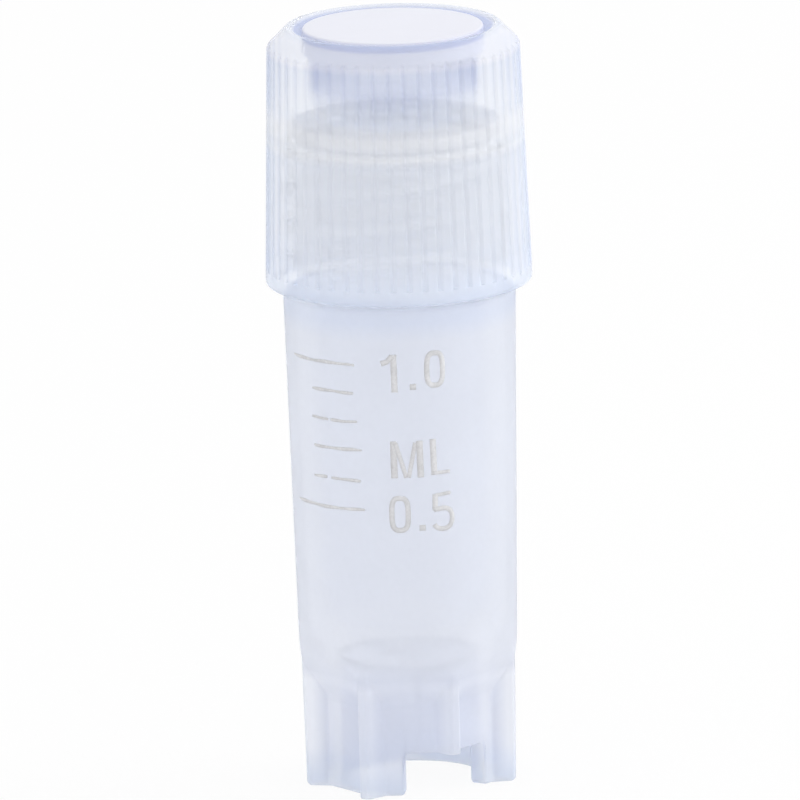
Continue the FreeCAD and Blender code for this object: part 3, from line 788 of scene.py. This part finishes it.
capFinish = {
    "color": (0.86, 0.905, 1.0),
    "roughness": 0.2,
    "IOR": 1.03,
    "Transmission Weight": 0.5,
    "Alpha": 0.56,
    "cloud": 0.06,
    "cloudSize": 4.0,
    "grain": 0.03,
    "grainSize": 0.3,
    "roughSpread": 0.06,
    "bump": 0.06,
    "zones": [
        ((0, 6.4, 27, 36.3, 0.2), (0.95, 0.97, 1.0), 0.2, 0.22, 1),  # thread room
        # painted highlight: the cap's inner thread ridges are painted white
        ((5, 6, 27.5, 35.3, 0.2), (1.0, 1.0, 1.0), 0.2, 0.45, 1),  # thread
        # painted light: the next two zones paint lighter bands on the flank at the height of the seat and
        # the web
        ((6.5, 7.4, 35.3, 35.7, 0.5), (0.97, 0.98, 1.0), 0.2, 0.66, 0.8),  # flank beside the seat
        ((6.5, 7.4, 35.85, 37.2, 0.8), (0.97, 0.98, 1.0), 0.2, 0.6, 0.8),  # flank beside the web
        ((6, 7.4, 27, 29, 1.2), (0.82, 0.88, 1.0), 0.2, 0.75, 0.8),  # lower band
        ((0, 5, 36.6, 40.3, 0.5), (0.9, 0.93, 1.0), 0.2, 0.3, 1),  # pocket
        # painted shade: dark blue painted on the pocket's wall under the insert
        ((3.9, 5, 38, 39.9, 1), (0.38, 0.44, 0.7), 0.2, 0.66, 0.9),  # its wall
        # painted shade: darker blue painted in the middle of the web, below the pocket
        ((0, 2.4, 36, 40, 1.8), (0.5, 0.57, 0.82), 0.2, 0.5, 0.5),  # middle of the web
        # painted shade: darker grey-blue painted in the grooves' upper ends, fading downwards
        ((6.4, 6.75, 37.4, 40.5, 0.15), (0.6, 0.65, 0.8), 0.2, 0.66, 0.4),  # upper ends of the grooves
        ((5.9, 7, 40.3, 42, 0.3), (0.95, 0.95, 1.0), 0.2, 0.62, 0.8),  # shoulder
        # painted shade: dark blue painted in the trench round the insert
        ((4.8, 5.62, 41, 41.5, 0.14), (0.36, 0.45, 0.79), 0.2, 0.66, 0.95),  # trench
        ((3.6, 6, 36.1, 36.7, 0.2), (1.0, 1.0, 1.0), 0.2, 0.08, 1),  # under the web
    ],
}
insertFinish = {
    "color": (0.795, 0.805, 0.89),
    "roughness": 0.34,
    "Specular IOR Level": 0.4,
    "cloud": 0.05,
    "cloudSize": 3.0,
    "grain": 0.03,
    "grainSize": 0.25,
    "roughSpread": 0.06,
    "bump": 0.08,
}
washerFinish = {
    "color": (0.96, 0.97, 1.0),
    "roughness": 0.5,
    "Alpha": 0.42,
    "cloud": 0.05,
    "cloudSize": 2.0,
    "grain": 0.04,
    "grainSize": 0.2,
    "roughSpread": 0.2,
    "bump": 0.1,
}
inkFinish = {
    "color": (0.69, 0.69, 0.71),
    "roughness": 0.6,
    "cloud": 0.4,
    "cloudSize": 0.7,
    "grain": 0.3,
    "grainSize": 0.12,
    "roughSpread": 0.3,
    "bump": 0.2,
}
for piece, name, finish in [
    (vialTube, "frosted_tube_plastic", tubeFinish),
    (screwCap, "frosted_cap_plastic", capFinish),
    (insertDisc, "insert_plastic", insertFinish),
    (sealRing, "washer_silicone", washerFinish),
    (scalePrint, "scale_ink", inkFinish),
]:
    piece.data.materials.append(plastic(name, finish))
print("materials made")


# Camera far away with a long lens, a little above the vial and rolled so that the vial leans left.
camera = {
    "aim": (-0.12, 0.0, 20.9),
    "elevation": 12.4,
    "distance": 1440.0,
    "lens": 1200.0,
    "roll": 1.47,
    "near": 10.0,
    "far": 10000.0,
}


# Where something stands that is turned towards a point, from a bearing and a height angle, and its turn.
def lookingAt(target, azimuth, elevation, distance):
    around, up = math.radians(azimuth), math.radians(elevation)
    back = Vector((math.sin(around) * math.cos(up), -math.cos(around) * math.cos(up), math.sin(up)))
    turn = (-back).to_track_quat("-Z", "Y").to_matrix().to_4x4()
    return Matrix.Translation((Vector(target) + back * distance) * mm) @ turn


def addCamera():
    data = bpy.data.cameras.new("camera")
    data.lens = camera["lens"]
    data.clip_start, data.clip_end = camera["near"] * mm, camera["far"] * mm
    eye = bpy.data.objects.new("camera", data)
    bpy.context.scene.collection.objects.link(eye)
    place = lookingAt(camera["aim"], 0, camera["elevation"], camera["distance"])
    eye.matrix_world = place @ Matrix.Rotation(-math.radians(camera["roll"]), 4, "Z")
    bpy.context.scene.camera = eye


addCamera()

# Light from all round, one broad lamp at the right, and a pale floor.
studio = {
    "white": (1.0, 1.0, 1.0, 1.0),
    "worldLevel": 0.97,
    "floorReach": 3000.0,
    "floorColor": (0.9, 0.9, 0.9, 1.0),
    "floorRoughness": 0.9,
    "floorShow": 0.9,  # share of plain white in what the camera sees of the floor
}
keyLamp = {
    "aim": (0.0, 0.0, 20.0),
    "azimuth": 100.0,
    "elevation": 15.0,
    "distance": 300.0,
    "width": 200.0,
    "height": 240.0,
    "power": 0.33,
}


# 1 for rays that the camera sends straight, by a mirror or through glass, 0 for all others.
def seenByCamera(tree):
    path = addNode(tree, "LightPath").outputs
    seen = mathNode(tree, "MAXIMUM", path["Is Camera Ray"], path["Is Glossy Ray"])
    return mathNode(tree, "MAXIMUM", seen, path["Is Transmission Ray"])


# The second shader in the given share, the first in the rest, on the output node.
def blendShaders(tree, share, first, second, output):
    mix = addNode(tree, "MixShader", {0: share, 1: first, 2: second})
    tree.links.new(mix.outputs[0], tree.nodes[output].inputs["Surface"])


# White all round for the camera, an even pale light for everything else.
def addWorld():
    world = bpy.data.worlds.new("studio")
    bpy.context.scene.world = world
    world.use_nodes = True
    tree = world.node_tree
    light = tree.nodes["Background"]
    light.inputs["Color"].default_value = studio["white"]
    light.inputs["Strength"].default_value = studio["worldLevel"]
    white = addNode(tree, "Background", {"Color": studio["white"]})
    blendShaders(tree, seenByCamera(tree), light.outputs[0], white.outputs[0], "World Output")


addWorld()


# A square that shows as nearly white and still takes the vial's shadow.
def addFloor():
    mesh = bpy.data.meshes.new("floor")
    reach = studio["floorReach"] * mm
    corners = [(-reach, -reach, 0), (reach, -reach, 0), (reach, reach, 0), (-reach, reach, 0)]
    mesh.from_pydata(corners, [], [(0, 1, 2, 3)])
    floor = bpy.data.objects.new("floor", mesh)
    bpy.context.scene.collection.objects.link(floor)
    material = bpy.data.materials.new("floor")
    material.use_nodes = True
    tree = material.node_tree
    shader = tree.nodes["Principled BSDF"]
    shader.inputs["Base Color"].default_value = studio["floorColor"]
    shader.inputs["Roughness"].default_value = studio["floorRoughness"]
    shader.inputs["Specular IOR Level"].default_value = 0.0
    glow = addNode(tree, "Emission")
    share = mathNode(tree, "MULTIPLY", seenByCamera(tree), studio["floorShow"])
    blendShaders(tree, share, shader.outputs[0], glow.outputs[0], "Material Output")
    mesh.materials.append(material)


addFloor()


def addLamp(name, sizes):
    data = bpy.data.lights.new(name, "AREA")
    data.shape = "RECTANGLE"
    data.size, data.size_y = sizes["width"] * mm, sizes["height"] * mm
    data.energy = sizes["power"]
    lamp = bpy.data.objects.new(name, data)
    bpy.context.scene.collection.objects.link(lamp)
    lamp.matrix_world = lookingAt(sizes["aim"], sizes["azimuth"], sizes["elevation"], sizes["distance"])


addLamp("key", keyLamp)
print("camera, floor and lights placed")

scene = bpy.context.scene
scene.view_settings.view_transform = "Standard"
